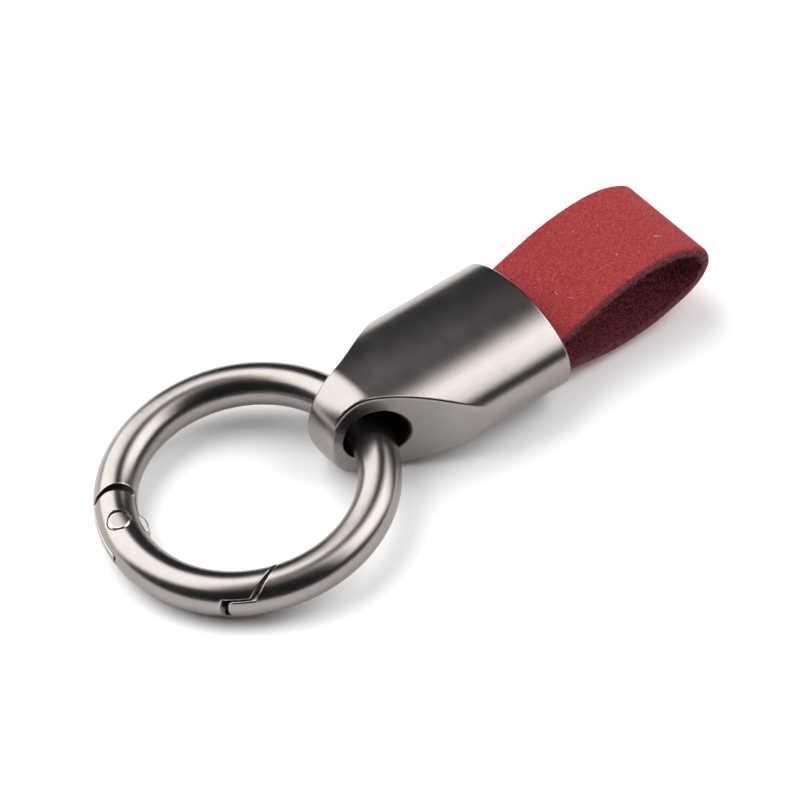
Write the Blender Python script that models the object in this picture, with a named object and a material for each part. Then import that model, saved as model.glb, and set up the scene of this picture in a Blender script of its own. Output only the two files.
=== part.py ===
"""Key holder: a leather strap folded into a cast cap, and a spring-gate ring in the cap's eye.

Units are metres and +Z is up. The origin is on the floor under the middle of the object, and +X runs
from the ring to the fold of the strap. The cap is worked out from the axis of its eye. The ring is
worked out in a flat plan of its own, round its centre, where a bearing of 0 points at the eye and
bearings grow anticlockwise.
"""

from math import acos, asin, cos, pi, radians, sin, tau

import bmesh
import bpy
from mathutils import Matrix, Vector

MM = 0.001

# Gaps that every piece shares
SEAT_GAP = 0.3 * MM
RUNNING_GAP = 0.1 * MM
CUT_OVERRUN = 1.0 * MM

# Cap, measured from the axis of its eye
BARREL_HALF_WIDTH = 9.765 * MM
BARREL_HALF_HEIGHT = 6.178 * MM
BARREL_LENGTH = 23.47 * MM
NECK_HALF_WIDTH = 3.435 * MM
SCOOP_LENGTH = 8.334 * MM
SCOOP_BLEND = 5.827 * MM
SCOOP_CREST = 0.1 * MM
NOSE_REACH = 5.42 * MM
NOSE_ROUNDING = 5.3 * MM
EYE_RADIUS = 3.6 * MM
EYE_LIP = 0.3 * MM
BARREL_SQUARENESS = 2.1
NOSE_SQUARENESS = 2.12
SCOOP_HOLLOW = 0.448
BARREL_SIDES = 64
SCOOP_STEPS = 22
NOSE_STEPS = 14
EYE_SIDES = 40
EYE_LIP_STEPS = 4

# Pocket in the rear of the cap
POCKET_DEPTH = 11.5 * MM
POCKET_CORNER = 0.6 * MM
POCKET_CORNER_STEPS = 5

# Strap, a strip that runs out of the pocket, round the fold and back
STRAP_WIDTH = 13.5 * MM
STRAP_THICKNESS = 1.3 * MM
LEG_SPREAD = 5.4 * MM
LEG_DROP = 0.68 * MM
LEG_STRAIGHT = 2.5 * MM
LOOP_LENGTH = 22.6 * MM
LOOP_HEIGHT = 9.3 * MM
LOOP_FLOOR_GAP = 1.25 * MM
LOOP_STEPS = 4
# Along the loop from the rim, and up from its lowest run, as shares of the loop's length and height
LOOP_SHARES = (
    (0.205, 0.776),
    (0.422, 0.938),
    (0.643, 1.0),
    (0.811, 0.955),
    (0.953, 0.790),
    (1.0, 0.581),
    (0.986, 0.414),
    (0.926, 0.269),
    (0.820, 0.151),
    (0.643, 0.038),
    (0.466, 0.0),
    (0.315, 0.022),
    (0.156, 0.091),
)

# Glue that fills the pocket between the two ends of the strap
GLUE_LENGTH = 9.5 * MM
GLUE_SIDE_GAP = 0.6 * MM

# Ring wire, and how the ring lies in the eye
RING_RADIUS = 15.0 * MM
WIRE_RADIUS = 2.5 * MM
WIRE_SHIFT = 0.2 * MM
WIRE_DROP = 0.7 * MM
RING_YAW = radians(-4.6)
RING_STEPS = 80
WIRE_SIDES = 24

# Hinge of the gate
RIVET_BEARING = radians(167.9)
RIVET_RADIUS = 1.3 * MM
RIVET_SIDES = 24
EAR_RADIUS = 4.4 * MM
ARCH_RADIUS = 5.3 * MM
ARCH_SHIFT = 0.5 * MM
ARCH_SIDES = 48
KNUCKLE_END = 3.0 * MM
KNUCKLE_RADIUS = 2.3 * MM
KNUCKLE_INSET = 0.7 * MM
KNUCKLE_ADVANCE = 0.5 * MM
KNUCKLE_HALF_THICKNESS = 0.6 * MM
KNUCKLE_SLOT_HALF_WIDTH = 0.85 * MM
KNUCKLE_SLOT_REACH = 3.9 * MM
CAM_REACH = 2.4 * MM

# Closing joint: every face is an arc about the rivet, so that the gate swings past it
SHOULDER_REACH = 19.42 * MM
GATE_END_REACH = 18.85 * MM
GATE_LIP_REACH = 19.12 * MM
TONGUE_REACH = 17.3 * MM
TONGUE_END_GAP = 0.9 * MM
TONGUE_HALF_THICKNESS = 1.2 * MM
TONGUE_SLOT_HALF_WIDTH = 1.4 * MM
TONGUE_FLOOR = 1.1 * MM
JOINT_STEPS = 10

# Spring and plunger in the gate
BORE_REACH = 10.0 * MM
BORE_RADIUS = 0.9 * MM
BORE_SIDES = 20
PLUNGER_LENGTH = 3.6 * MM
PLUNGER_TIP = 0.45 * MM
PLUNGER_TIP_STEPS = 7
SPRING_END_GAP = 0.15 * MM
SPRING_WIRE_RADIUS = 0.15 * MM
SPRING_WALL_GAP = 0.15 * MM
SPRING_TURNS = 5
SPRING_TURN_STEPS = 10

# Colours (red, green, blue), metallic and roughness
FINISHES = {
    "satin_metal": ((0.30, 0.27, 0.26), 1.0, 0.34),
    "rivet_metal": ((0.42, 0.39, 0.38), 1.0, 0.30),
    "spring_steel": ((0.45, 0.45, 0.46), 1.0, 0.30),
    "red_leather": ((0.40, 0.05, 0.06), 0.0, 0.85),
    "clear_glue": ((0.55, 0.50, 0.40), 0.0, 0.45),
}


def clear_scene():
    for old in list(bpy.data.objects):
        bpy.data.objects.remove(old, do_unlink=True)


def finish(name):
    """The Principled material of that name, made at its first use."""
    material = bpy.data.materials.get(name)
    if material:
        return material
    material = bpy.data.materials.new(name)
    material.use_nodes = True
    shader = material.node_tree.nodes["Principled BSDF"]
    colour, metallic, roughness = FINISHES[name]
    shader.inputs["Base Color"].default_value = (*colour, 1.0)
    shader.inputs["Metallic"].default_value = metallic
    shader.inputs["Roughness"].default_value = roughness
    material.diffuse_color = (*colour, 1.0)
    return material


def link_mesh(name, mesh):
    piece = bpy.data.objects.new(name, mesh)
    bpy.context.scene.collection.objects.link(piece)
    return piece


def skin(name, rings):
    """A closed solid through rings of points, each joined to the next, with both ends filled."""
    shape = bmesh.new()
    rows = [[shape.verts.new(point) for point in ring] for ring in rings]
    count = len(rows[0])
    for near, far in zip(rows, rows[1:]):
        for index in range(count):
            following = (index + 1) % count
            shape.faces.new((near[index], near[following], far[following], far[index]))
    shape.faces.new(rows[0][::-1])
    shape.faces.new(rows[-1])
    bmesh.ops.recalc_face_normals(shape, faces=shape.faces)
    mesh = bpy.data.meshes.new(name)
    shape.to_mesh(mesh)
    shape.free()
    return link_mesh(name, mesh)


def prism(name, outline, low, high, axis="Z"):
    """The outline, a list of pairs, carried straight from low to high along an axis."""
    rings = []
    for level in (low, high):
        along_x = [(level, a, b) for a, b in outline]
        along_z = [(a, b, level) for a, b in outline]
        rings.append(along_x if axis == "X" else along_z)
    return skin(name, rings)


def combine(blank, operation, *tools):
    """Applies a Boolean with each tool to the blank, and removes the tools."""
    for tool in tools:
        tool.hide_render = True
        tool.display_type = "WIRE"
        cut = blank.modifiers.new(tool.name, "BOOLEAN")
        cut.operation = operation
        cut.solver = "EXACT"
        cut.object = tool
    graph = bpy.context.evaluated_depsgraph_get()
    result = bpy.data.meshes.new_from_object(blank.evaluated_get(graph))
    blank.modifiers.clear()
    blank.data = result
    for tool in tools:
        bpy.data.objects.remove(tool, do_unlink=True)
    return blank


def dress(piece, material_name, smooth_below=radians(32)):
    piece.data.materials.clear()
    piece.data.materials.append(finish(material_name))
    piece.data.shade_smooth()
    piece.data.set_sharp_from_angle(angle=smooth_below)
    return piece


def circle(radius, sides, centre=(0, 0)):
    turns = [tau * k / sides for k in range(sides)]
    return [(centre[0] + radius * cos(turn), centre[1] + radius * sin(turn)) for turn in turns]


def signed_power(value, exponent):
    return abs(value) ** exponent * (1 if value >= 0 else -1)


# Cap


def barrel_section():
    """A superellipse: |y / half width|^n + |z / half height|^n = 1."""
    power = 2 / BARREL_SQUARENESS
    points = []
    for y, z in circle(1, BARREL_SIDES):
        points.append(
            (BARREL_HALF_WIDTH * signed_power(y, power), BARREL_HALF_HEIGHT * signed_power(z, power))
        )
    return points


def scoop_half_width(x):
    """Half the distance between the two side scoops, which flare out and then ease into the barrel's sides.

    The ease takes b^2 / (4 * blend) off the lesser of flare and crest, where b = blend - |crest - flare|.
    """
    along = x / SCOOP_LENGTH
    spread = BARREL_HALF_WIDTH - NECK_HALF_WIDTH
    flare = NECK_HALF_WIDTH + spread * ((1 - SCOOP_HOLLOW) * along + SCOOP_HOLLOW * along**2)
    crest = BARREL_HALF_WIDTH + SCOOP_CREST
    near = max(SCOOP_BLEND - abs(crest - flare), 0)
    return min(flare, crest) - near**2 / (4 * SCOOP_BLEND)


def scoop_plan():
    """The cap seen from above, a little wider than the barrel behind the scoops."""
    first = -NOSE_REACH - CUT_OVERRUN
    last = SCOOP_LENGTH + SCOOP_BLEND
    xs = [first + (last - first) * k / SCOOP_STEPS for k in range(SCOOP_STEPS + 1)]
    near = [(x, -scoop_half_width(x)) for x in xs]
    wide = scoop_half_width(last)
    rear = BARREL_LENGTH + CUT_OVERRUN
    return near + [(rear, -wide), (rear, wide)] + [(x, -y) for x, y in reversed(near)]


def cap_blank():
    """The barrel, whose section shrinks along a blunt rounded nose, one ring of points at each station."""
    start = NOSE_ROUNDING - NOSE_REACH
    power = 2 / NOSE_SQUARENESS
    section = barrel_section()
    stations = []
    for step in range(1, NOSE_STEPS + 1):
        turn = pi / 2 * step / NOSE_STEPS
        stations.append((start - NOSE_ROUNDING * cos(turn) ** power, sin(turn) ** power))
    stations += [(SCOOP_LENGTH + SCOOP_BLEND, 1), (BARREL_LENGTH, 1)]
    return skin("cap_shell", [[(x, y * share, z * share) for y, z in section] for x, share in stations])


def eye_cutter():
    """A bore along Y whose mouths roll out into the scoops, one ring of points at each depth below them."""
    stations = [(-CUT_OVERRUN, EYE_RADIUS + EYE_LIP)]
    for step in range(EYE_LIP_STEPS + 1):
        turn = pi / 2 * step / EYE_LIP_STEPS
        stations.append((EYE_LIP * (1 - cos(turn)), EYE_RADIUS + EYE_LIP * (1 - sin(turn))))
    rings = []
    for side, half in ((-1, stations), (1, stations[::-1])):
        for depth, radius in half:
            outline = circle(radius, EYE_SIDES)
            rings.append([(x, side * (scoop_half_width(x) - depth), z) for x, z in outline])
    return skin("eye_cutter", rings)


def pocket_section():
    """A rounded rectangle round the two legs of the strap, with a seat gap all round."""
    half_width = STRAP_WIDTH / 2 + SEAT_GAP
    half_height = LEG_SPREAD / 2 + SEAT_GAP
    points = []
    for corner, (side, rise) in enumerate(((1, 1), (-1, 1), (-1, -1), (1, -1))):
        for step in range(POCKET_CORNER_STEPS + 1):
            turn = pi / 2 * (corner + step / POCKET_CORNER_STEPS)
            y = side * (half_width - POCKET_CORNER) + POCKET_CORNER * cos(turn)
            z = rise * (half_height - POCKET_CORNER) + POCKET_CORNER * sin(turn)
            points.append((y, z - LEG_DROP))
    return points


def build_cap(eye):
    """A barrel with a nose, cut to its scoops, with the eye across it and the pocket in its rear."""
    cap = cap_blank()
    tall = BARREL_HALF_HEIGHT + CUT_OVERRUN
    pocket_floor = BARREL_LENGTH - POCKET_DEPTH
    combine(cap, "INTERSECT", prism("scoop_shape", scoop_plan(), -tall, tall, "Z"))
    combine(
        cap,
        "DIFFERENCE",
        eye_cutter(),
        prism("pocket_cutter", pocket_section(), pocket_floor, BARREL_LENGTH + CUT_OVERRUN, "X"),
    )
    cap.location = eye
    return dress(cap, "satin_metal")


# Strap


def smooth_through(points, steps):
    """A curve through the points that runs, at each, along the line between its neighbours.

    From b to c, with a before and d after: b + (c-a)t/2 + (2a-5b+4c-d)t^2/2 + (3b-a-3c+d)t^3/2.
    """
    ends = [2 * points[0] - points[1], *points, 2 * points[-1] - points[-2]]
    curve = []
    for a, b, c, d in zip(ends, ends[1:], ends[2:], ends[3:]):
        slope = (c - a) / 2
        bend = (2 * a - 5 * b + 4 * c - d) / 2
        twist = (3 * b - a - 3 * c + d) / 2
        for step in range(steps):
            t = step / steps
            curve.append(b + slope * t + bend * t**2 + twist * t**3)
    return [*curve, points[-1]]


def leg_height(side):
    """How high a leg's middle lies above the cap's axis: side is 1 for the upper leg, -1 for the lower."""
    return side * (LEG_SPREAD - STRAP_THICKNESS) / 2 - LEG_DROP


def strap_centreline():
    """The strip's middle, as (x, z) from the eye's axis, from one end in the pocket round to the other."""
    end = BARREL_LENGTH - POCKET_DEPTH + SEAT_GAP
    lowest = LOOP_FLOOR_GAP + STRAP_THICKNESS / 2 - BARREL_HALF_HEIGHT
    bend = BARREL_LENGTH - LEG_STRAIGHT
    loop = [
        Vector((BARREL_LENGTH + along * LOOP_LENGTH, lowest + up * LOOP_HEIGHT))
        for along, up in LOOP_SHARES
    ]
    route = [
        Vector((bend, leg_height(1))),
        Vector((BARREL_LENGTH, leg_height(1))),
        *loop,
        Vector((BARREL_LENGTH, leg_height(-1))),
        Vector((bend, leg_height(-1))),
    ]
    ends = [Vector((end, leg_height(side))) for side in (1, -1)]
    return [ends[0], *smooth_through(route, LOOP_STEPS), ends[1]]


def strap_faces():
    """The strip's two faces as (x, z) lists: the grain side, outside the loop, and the flesh side."""
    middle = strap_centreline()
    grain = []
    flesh = []
    for before, point, after in zip([middle[0], *middle], middle, [*middle[1:], middle[-1]]):
        along = (after - before).normalized()
        outward = Vector((-along.y, along.x)) * (STRAP_THICKNESS / 2)
        grain.append(point + outward)
        flesh.append(point - outward)
    return grain, flesh


def build_strap(eye):
    """The strip, and the block of set glue between its ends."""
    grain, flesh = strap_faces()
    half = STRAP_WIDTH / 2
    rings = []
    for (outer_x, outer_z), (inner_x, inner_z) in zip(grain, flesh):
        near = [(outer_x, -half, outer_z), (inner_x, -half, inner_z)]
        rings.append(near + [(inner_x, half, inner_z), (outer_x, half, outer_z)])
    strap = skin("strap", rings)
    strap.location = eye
    dress(strap, "red_leather")

    half_height = LEG_SPREAD / 2 - STRAP_THICKNESS - SEAT_GAP
    half_width = STRAP_WIDTH / 2 - GLUE_SIDE_GAP
    first = BARREL_LENGTH - POCKET_DEPTH + SEAT_GAP
    outline = [
        (-half_width, -half_height - LEG_DROP),
        (half_width, -half_height - LEG_DROP),
        (half_width, half_height - LEG_DROP),
        (-half_width, half_height - LEG_DROP),
    ]
    glue = prism("strap_glue", outline, first, first + GLUE_LENGTH, "X")
    glue.location = eye
    return strap, dress(glue, "clear_glue")


# Ring, worked out in its own plan


def on_ring(radius, bearing):
    return Vector((radius * cos(bearing), radius * sin(bearing)))


def bent_bar(name, first, last):
    """A round bar bent round the ring's centre from one bearing to another."""
    steps = round((last - first) / tau * RING_STEPS)
    rings = []
    for step in range(steps + 1):
        bearing = first + (last - first) * step / steps
        section = circle(WIRE_RADIUS, WIRE_SIDES)
        rings.append([(*on_ring(RING_RADIUS + out, bearing), up) for out, up in section])
    return skin(name, rings)


def bearing_at(reach, radius):
    """The bearing, on the gate's side, of the point at that reach from the rivet and at that radius."""
    share = (RING_RADIUS**2 + radius**2 - reach**2) / (2 * RING_RADIUS * radius)
    return RIVET_BEARING + acos(share)


def joint_arc(outer_reach, inner_reach, outer_radius, inner_radius):
    """Points from the outside of the wire to its inside, as their distance to the rivet changes evenly."""
    points = []
    for step in range(JOINT_STEPS + 1):
        share = step / JOINT_STEPS
        radius = outer_radius + (inner_radius - outer_radius) * share
        reach = outer_reach + (inner_reach - outer_reach) * share
        points.append(on_ring(radius, bearing_at(reach, radius)))
    return points


def ring_arc(radius, first, last):
    """Points round the ring's centre from one bearing to another."""
    return [on_ring(radius, first + (last - first) * step / JOINT_STEPS) for step in range(JOINT_STEPS + 1)]


OUTSIDE = RING_RADIUS + WIRE_RADIUS + CUT_OVERRUN
INSIDE = RING_RADIUS - WIRE_RADIUS - CUT_OVERRUN
RIVET = on_ring(RING_RADIUS, RIVET_BEARING)
FLOOR_OUTER_RADIUS = RING_RADIUS - WIRE_RADIUS + TONGUE_FLOOR
TONGUE_INNER_RADIUS = FLOOR_OUTER_RADIUS + SEAT_GAP
BODY_FIRST = bearing_at(TONGUE_REACH, OUTSIDE) - tau
BODY_LAST = RIVET_BEARING + KNUCKLE_END / RING_RADIUS
GATE_FIRST = RIVET_BEARING - (EAR_RADIUS + CUT_OVERRUN) / RING_RADIUS
GATE_LAST = bearing_at(GATE_LIP_REACH, INSIDE)
PLUNGER_BEARING = RIVET_BEARING + pi / 2 + asin(BORE_REACH / (2 * RING_RADIUS))


def swept_by_gate(name, reach, low, high, outer_radius=OUTSIDE):
    """All that lies nearer to the rivet than the reach, over the end of the ring body."""
    start = BODY_FIRST + tau - CUT_OVERRUN / RING_RADIUS
    arc = joint_arc(reach, reach, outer_radius, INSIDE)
    back = ring_arc(INSIDE, bearing_at(reach, INSIDE), start)[1:]
    front = ring_arc(outer_radius, start, bearing_at(reach, outer_radius))[:-1]
    return prism(name, arc + back + front, low, high)


def along_plunger(piece):
    """Turns a piece made round the rivet, with +X towards the spring, into the ring's plan."""
    piece.data.transform(Matrix.Translation((*RIVET, 0)) @ Matrix.Rotation(PLUNGER_BEARING, 4, "Z"))
    return piece


def knuckle_outline():
    """A round swelling of the knuckle, which stands proud inside the ring."""
    middle = on_ring(RING_RADIUS - KNUCKLE_INSET, RIVET_BEARING + KNUCKLE_ADVANCE / RING_RADIUS)
    return circle(KNUCKLE_RADIUS, ARCH_SIDES, middle)


def build_ring_body():
    """The fixed three quarters of the ring, with a knuckle at one end and a flat tongue at the other."""
    beyond = WIRE_RADIUS + CUT_OVERRUN
    thin = KNUCKLE_HALF_THICKNESS
    body = bent_bar("ring_body", BODY_FIRST, BODY_LAST)
    arch = circle(ARCH_RADIUS, ARCH_SIDES, on_ring(RING_RADIUS - ARCH_SHIFT, RIVET_BEARING))
    combine(
        body,
        "DIFFERENCE",
        prism("arch_above", arch, thin, beyond),
        prism("arch_below", arch, -beyond, -thin),
        swept_by_gate("tongue_end_cutter", TONGUE_REACH, -beyond, beyond),
        swept_by_gate("prong_above", SHOULDER_REACH, TONGUE_HALF_THICKNESS, beyond),
        swept_by_gate("prong_below", SHOULDER_REACH, -beyond, -TONGUE_HALF_THICKNESS),
        swept_by_gate("slot_floor_space", SHOULDER_REACH, -beyond, beyond, TONGUE_INNER_RADIUS),
    )
    combine(body, "UNION", prism("knuckle", knuckle_outline(), -thin, thin))
    past_knuckle = KNUCKLE_END + CUT_OVERRUN
    cam = [
        (CAM_REACH, -past_knuckle),
        (past_knuckle, -past_knuckle),
        (past_knuckle, past_knuckle),
        (CAM_REACH, past_knuckle),
    ]
    combine(
        body,
        "DIFFERENCE",
        along_plunger(prism("cam_cutter", cam, -beyond, beyond)),
        prism("rivet_hole", circle(RIVET_RADIUS + RUNNING_GAP, RIVET_SIDES, RIVET), -beyond, beyond),
    )
    return dress(body, "satin_metal")


def ear_end_outline():
    """What lies past the round end of the gate's ears, as a half ring about the rivet."""
    middle = RIVET_BEARING - pi / 2
    turns = [middle + pi * (step / ARCH_SIDES - 0.5) for step in range(ARCH_SIDES + 1)]
    far = EAR_RADIUS + WIRE_RADIUS + 2 * CUT_OVERRUN
    inner = [RIVET + on_ring(EAR_RADIUS, turn) for turn in turns]
    return inner + [RIVET + on_ring(far, turn) for turn in reversed(turns)]


def build_gate():
    """The swinging part of the ring: ears round the knuckle, a fork round the tongue and a blind bore."""
    beyond = WIRE_RADIUS + CUT_OVERRUN
    end = GATE_LAST + CUT_OVERRUN / RING_RADIUS
    gate = bent_bar("gate", GATE_FIRST, end)
    finish_line = joint_arc(GATE_END_REACH, GATE_LIP_REACH, OUTSIDE, INSIDE)
    past_end = end + CUT_OVERRUN / RING_RADIUS
    lip_back = ring_arc(INSIDE, GATE_LAST, past_end)[1:]
    lip_front = ring_arc(OUTSIDE, past_end, bearing_at(GATE_END_REACH, OUTSIDE))[:-1]
    slot_reach = TONGUE_REACH - TONGUE_END_GAP
    slot = joint_arc(slot_reach, slot_reach, OUTSIDE, FLOOR_OUTER_RADIUS)
    slot += ring_arc(FLOOR_OUTER_RADIUS, bearing_at(slot_reach, FLOOR_OUTER_RADIUS), past_end)[1:]
    slot += ring_arc(OUTSIDE, past_end, bearing_at(slot_reach, OUTSIDE))[:-1]
    wide = 2 * WIRE_RADIUS + CUT_OVERRUN
    hinge_slot = [
        (-EAR_RADIUS - CUT_OVERRUN, -wide),
        (KNUCKLE_SLOT_REACH, -wide),
        (KNUCKLE_SLOT_REACH, wide),
        (-EAR_RADIUS - CUT_OVERRUN, wide),
    ]
    combine(
        gate,
        "DIFFERENCE",
        prism("end_cutter", finish_line + lip_back + lip_front, -beyond, beyond),
        prism("tongue_slot", slot, -TONGUE_SLOT_HALF_WIDTH, TONGUE_SLOT_HALF_WIDTH),
        prism("ear_cutter", ear_end_outline(), -beyond, beyond),
        along_plunger(prism("knuckle_slot", hinge_slot, -KNUCKLE_SLOT_HALF_WIDTH, KNUCKLE_SLOT_HALF_WIDTH)),
        along_plunger(prism("spring_bore", circle(BORE_RADIUS, BORE_SIDES), 0, BORE_REACH, "X")),
        prism("rivet_hole", circle(RIVET_RADIUS + RUNNING_GAP, RIVET_SIDES, RIVET), -beyond, beyond),
    )
    return dress(gate, "satin_metal")


def build_rivet():
    """A straight pin, filed to the surface of the wire at both ends."""
    beyond = WIRE_RADIUS + CUT_OVERRUN
    rivet = prism("hinge_rivet", circle(RIVET_RADIUS, RIVET_SIDES, RIVET), -beyond, beyond)
    reach = (RIVET_RADIUS + CUT_OVERRUN) / RING_RADIUS
    combine(rivet, "INTERSECT", bent_bar("filed_surface", RIVET_BEARING - reach, RIVET_BEARING + reach))
    return dress(rivet, "rivet_metal")


def build_plunger():
    """A pin with a rounded tip that rests on the cam."""
    radius = BORE_RADIUS - RUNNING_GAP
    tip = CAM_REACH + SEAT_GAP
    stations = [(tip, radius - PLUNGER_TIP)]
    for step in range(1, PLUNGER_TIP_STEPS + 1):
        turn = pi / 2 * step / PLUNGER_TIP_STEPS
        stations.append((tip + PLUNGER_TIP * (1 - cos(turn)), radius - PLUNGER_TIP * (1 - sin(turn))))
    stations.append((tip + PLUNGER_LENGTH, radius))
    rings = [[(x, y, z) for y, z in circle(size, BORE_SIDES)] for x, size in stations]
    return dress(along_plunger(skin("gate_plunger", rings)), "spring_steel")


def build_spring():
    """A compression coil between the plunger and the end of the bore, as one tube along a helix."""
    first = CAM_REACH + SEAT_GAP + PLUNGER_LENGTH + SPRING_END_GAP + SPRING_WIRE_RADIUS
    last = BORE_REACH - SPRING_END_GAP - SPRING_WIRE_RADIUS
    radius = BORE_RADIUS - SPRING_WALL_GAP - SPRING_WIRE_RADIUS
    count = SPRING_TURNS * SPRING_TURN_STEPS
    curve = bpy.data.curves.new("gate_spring", "CURVE")
    curve.dimensions = "3D"
    curve.bevel_depth = SPRING_WIRE_RADIUS
    curve.bevel_resolution = 1
    curve.use_fill_caps = True
    helix = curve.splines.new("POLY")
    helix.points.add(count)
    for step, point in enumerate(helix.points):
        turn = tau * step / SPRING_TURN_STEPS
        point.co = (first + (last - first) * step / count, radius * cos(turn), radius * sin(turn), 1)
    curve.transform(Matrix.Translation((*RIVET, 0)) @ Matrix.Rotation(PLUNGER_BEARING, 4, "Z"))
    curve.materials.append(finish("spring_steel"))
    return link_mesh("gate_spring", curve)


def ring_tilt():
    """How far the ring leans from the eye down to the floor, where its far side rests."""
    rise = BARREL_HALF_HEIGHT - WIRE_DROP - WIRE_RADIUS
    return asin(rise / (RING_RADIUS * (1 + cos(RING_YAW))))


def pivot(name, matrix, parent=None):
    empty = bpy.data.objects.new(name, None)
    bpy.context.scene.collection.objects.link(empty)
    empty.empty_display_size = WIRE_RADIUS
    empty.parent = parent
    empty.matrix_local = matrix
    return empty


def hang(piece, parent, plan_origin):
    """Parents a piece made in the ring's plan to the pivot that stands at that point of the plan."""
    piece.data.transform(Matrix.Translation((-plan_origin.x, -plan_origin.y, 0)))
    piece.parent = parent


def main():
    clear_scene()
    tilt = ring_tilt()
    lean = Matrix.Rotation(-tilt, 3, "Y") @ Matrix.Rotation(RING_YAW, 3, "Z")
    centre = Vector((WIRE_SHIFT, 0, BARREL_HALF_HEIGHT - WIRE_DROP)) - lean @ Vector((RING_RADIUS, 0, 0))
    flat_radius = RING_RADIUS * cos(tilt) + WIRE_RADIUS
    far_x = centre.x - flat_radius
    fold_x = max(point.x for point in strap_faces()[0])
    middle = Vector(((far_x + fold_x) / 2, centre.y, 0))
    eye = Vector((0, 0, BARREL_HALF_HEIGHT)) - middle

    build_cap(eye)
    build_strap(eye)
    wire_at_eye = eye + Vector((WIRE_SHIFT, 0, -WIRE_DROP))
    ring_pivot = pivot("ring_pivot", Matrix.Translation(wire_at_eye) @ lean.to_4x4())
    hang(build_ring_body(), ring_pivot, on_ring(RING_RADIUS, 0))
    rivet_from_eye = RIVET - on_ring(RING_RADIUS, 0)
    gate_pivot = pivot("gate_pivot", Matrix.Translation((*rivet_from_eye, 0)), ring_pivot)
    for piece in (build_gate(), build_rivet(), build_plunger(), build_spring()):
        hang(piece, gate_pivot, RIVET)


main()
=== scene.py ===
"""Looks of the key holder: a folded nubuck strap in a satin cap, and a spring-gate ring through its eye.

Shapes are worked out in millimetres, the cap and strap from the axis of the eye and the ring round its own
centre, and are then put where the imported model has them.
"""

import bpy
import numpy as np
from mathutils import Matrix


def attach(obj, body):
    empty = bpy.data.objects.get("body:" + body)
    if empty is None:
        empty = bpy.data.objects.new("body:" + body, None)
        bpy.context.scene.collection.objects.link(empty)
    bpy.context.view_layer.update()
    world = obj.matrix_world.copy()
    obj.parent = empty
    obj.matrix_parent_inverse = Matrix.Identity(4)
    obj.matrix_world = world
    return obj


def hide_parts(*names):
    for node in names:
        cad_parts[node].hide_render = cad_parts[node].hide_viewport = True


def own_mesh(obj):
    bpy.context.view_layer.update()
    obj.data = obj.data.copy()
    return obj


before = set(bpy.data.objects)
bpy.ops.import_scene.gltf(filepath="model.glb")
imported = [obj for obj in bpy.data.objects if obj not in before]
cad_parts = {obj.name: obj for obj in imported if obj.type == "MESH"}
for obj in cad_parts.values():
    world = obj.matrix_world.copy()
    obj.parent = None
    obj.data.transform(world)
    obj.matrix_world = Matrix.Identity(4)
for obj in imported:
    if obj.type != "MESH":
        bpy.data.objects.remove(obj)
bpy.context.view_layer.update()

MM = 0.001

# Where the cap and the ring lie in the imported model
EYE = np.array([-7.3295, -1.203, 6.178])
RING_CENTRE = np.array([-22.007, 0.0, 3.9914])
RING_TILT = np.radians(5.706)
RING_YAW = np.radians(-4.6)

# Cap, from the axis of its eye
BARREL_HALF_WIDTH = 9.765
BARREL_HALF_HEIGHT = 6.178
BARREL_SQUARENESS = 2.1
BARREL_LENGTH = 23.47
NECK_HALF_WIDTH = 3.435
SCOOP_LENGTH = 8.334
SCOOP_HOLLOW = 0.448
SCOOP_BLEND = 5.827
SCOOP_CREST = 0.1
NOSE_REACH = 5.42
NOSE_ROUNDING = 5.3
NOSE_SQUARENESS = 2.12
EYE_RADIUS = 3.6
POCKET_HALF_WIDTH = 7.05
POCKET_HALF_HEIGHT = 3.0
POCKET_DROP = 0.68
POCKET_DEPTH = 11.5
POCKET_CORNER = 0.6

# Roundings of the cap's edges
SCOOP_EDGE = 0.22
NOSE_EDGE = 0.35
NOSE_EDGE_START = 3.5
NOSE_EDGE_RUN = 6.5
RIM_EDGE = 0.35
EYE_LIP = 0.3
POCKET_EDGE = 0.2

# Ring, from its centre, with the gate's joints measured from the rivet
RING_RADIUS = 15.0
WIRE_RADIUS = 2.5
RIVET_BEARING = np.radians(167.9)
RIVET_RADIUS = 1.3
RIVET_GAP = 0.1
RIVET_FILING = 0.6
EAR_RADIUS = 4.4
ARCH_RADIUS = 5.08
ARCH_SHIFT = 0.5
KNUCKLE_HALF_THICKNESS = 0.76
KNUCKLE_SLOT_HALF_WIDTH = 0.85
KNUCKLE_SLOT_REACH = 3.9
KNUCKLE_SLOT_SLANT = 1.15
KNUCKLE_RADIUS = 2.3
KNUCKLE_INSET = 0.7
KNUCKLE_ADVANCE = 0.5
CAM_REACH = 2.4
PLUNGER_BEARING = np.radians(277.371)
SHOULDER_REACH = 19.42
GATE_END_REACH = 18.85
GATE_LIP_REACH = 19.12
TONGUE_REACH = 16.9
TONGUE_SLOT_REACH = 16.4
TONGUE_HALF_THICKNESS = 1.2
TONGUE_SLOT_HALF_WIDTH = 1.4
TONGUE_FLOOR = 1.1
TONGUE_INNER_GAP = 0.3
JOINT_EDGE = 0.12

# Finest step of the grids that the castings are drawn on
CAP_STEP = 0.16
RING_STEP = 0.136
SETTLING_ROUNDS = 3
LAST_ROUNDS = 4
SLOPE_STEP = 0.01
LEAST_SLOPE = 0.3


def link_mesh(name, points, faces, ends=(), smooth=True):
    """A mesh object at the origin, from points in millimetres."""
    mesh = bpy.data.meshes.new(name)
    mesh.from_pydata((points * MM).tolist(), [], [*faces.tolist(), *ends])
    mesh.polygons.foreach_set("use_smooth", np.full(len(mesh.polygons), smooth))
    piece = bpy.data.objects.new(name, mesh)
    bpy.context.scene.collection.objects.link(piece)
    return piece


def paint(piece, name, values):
    """A value for each point of the piece, for its material to read."""
    mask = piece.data.attributes.new(name, "FLOAT", "POINT")
    mask.data.foreach_set("value", np.asarray(values, dtype=np.float32))


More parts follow.
